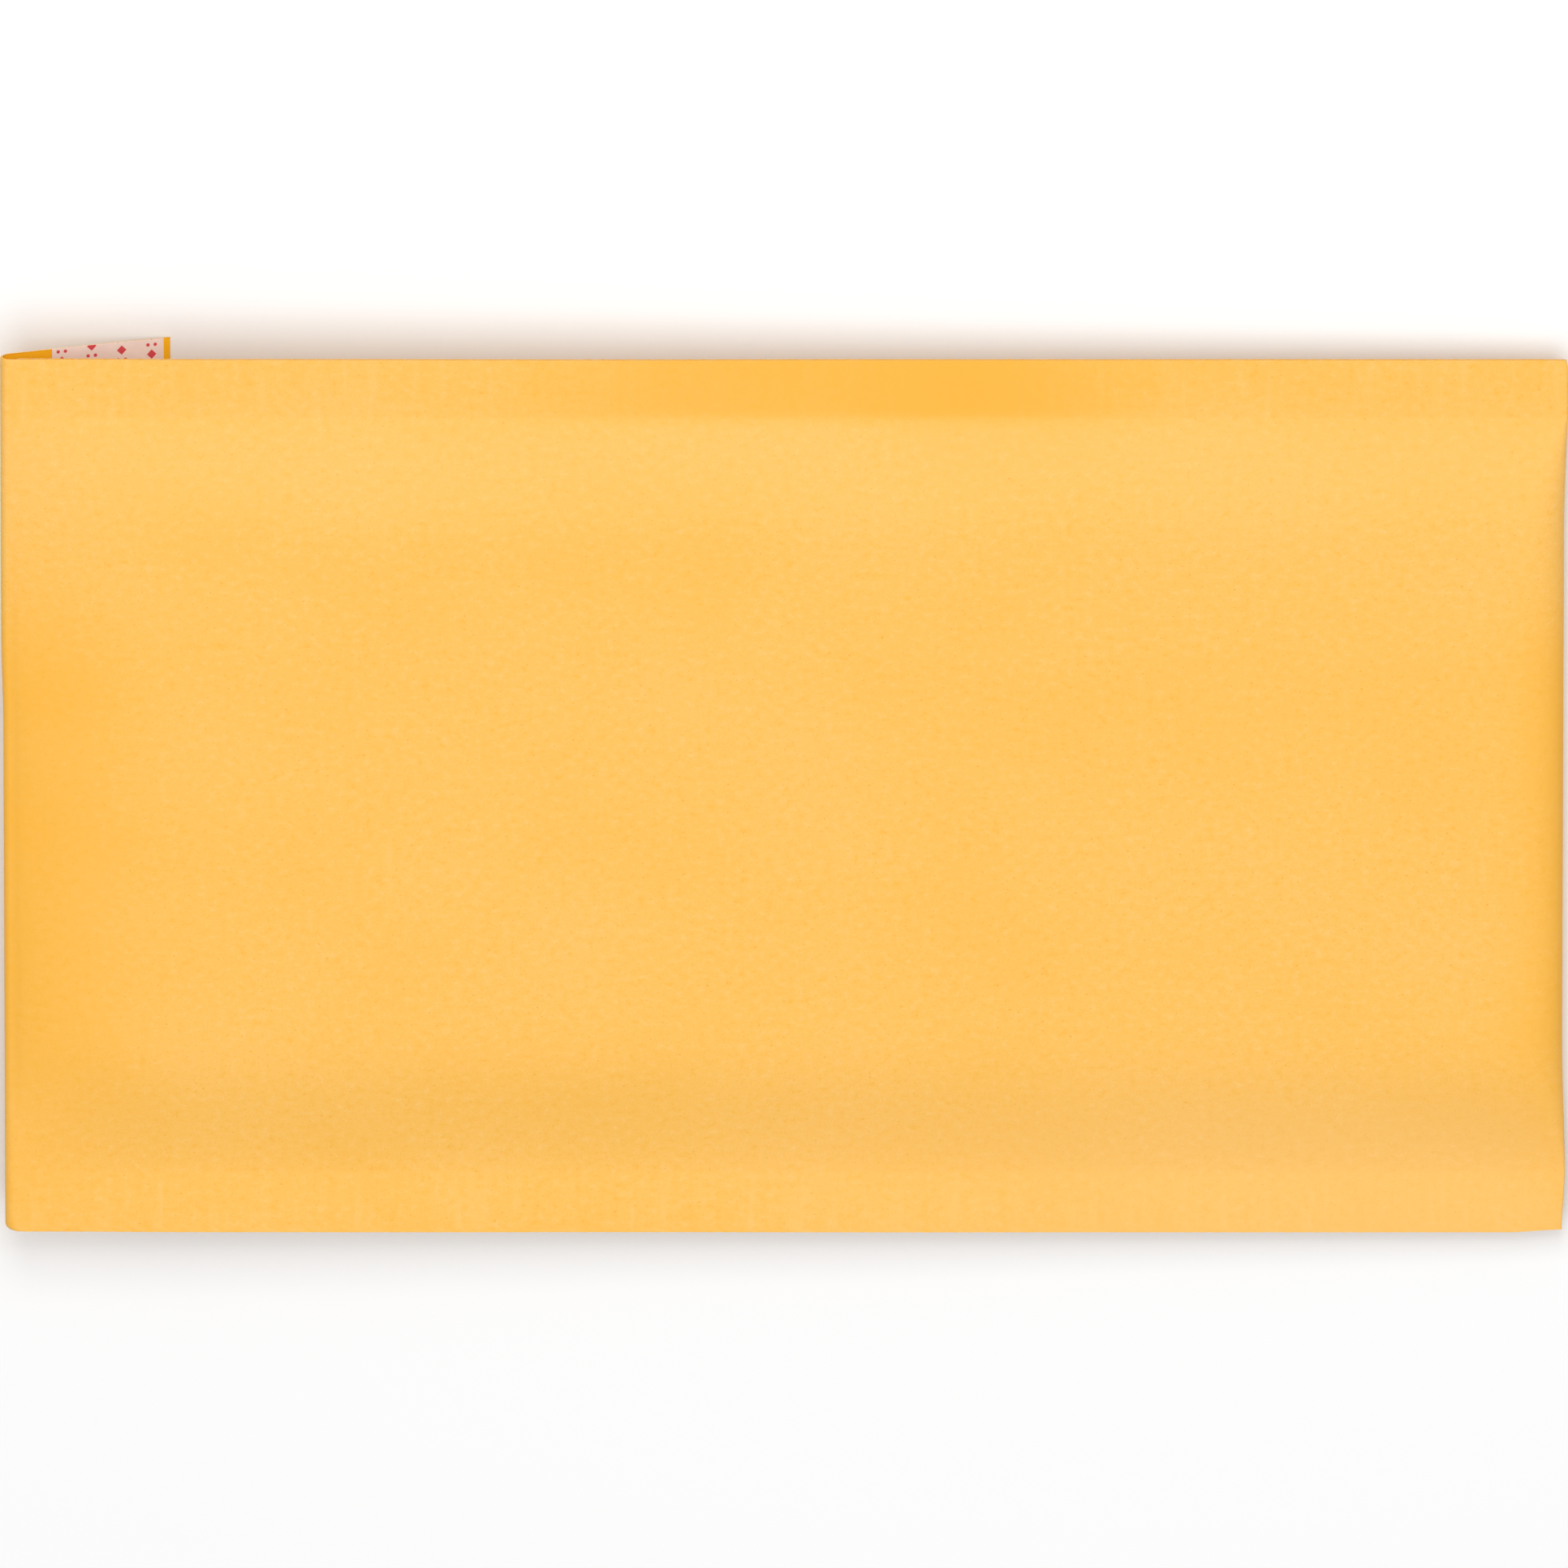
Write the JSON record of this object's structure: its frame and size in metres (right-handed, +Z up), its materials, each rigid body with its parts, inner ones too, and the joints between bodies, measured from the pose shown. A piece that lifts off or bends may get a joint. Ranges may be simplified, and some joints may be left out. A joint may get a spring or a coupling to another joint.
{
  "type": "padded envelope",
  "caption": "Flat rectangular mailing envelope of kraft paper with a bubble film lining, crimped side seams, and a fold-over flap with a covered glue line.",
  "frame": {"origin": "middle of the envelope's footprint, on the surface it lies on", "axes": "+X from the flap's fold to the closed fold, +Y across the envelope towards one side seam, +Z up out of the front panel"},
  "size_m": [0.2579, 0.153, 0.0152],
  "materials": {
    "kraft_paper": "matte golden kraft paper with fine fibres and soft mottling",
    "bubble_film": "clear polyethylene bubble film",
    "adhesive": "glossy cream pressure-sensitive glue",
    "liner_paper": "smooth silicone-coated release paper, pale pink, with small red printed marks"
  },
  "bodies": {
    "root": {"kraft_outer": "kraft_paper", "bubble_lining": "bubble_film", "adhesive_strip": "adhesive", "release_liner": "liner_paper"}
  },
  "joints": []
}
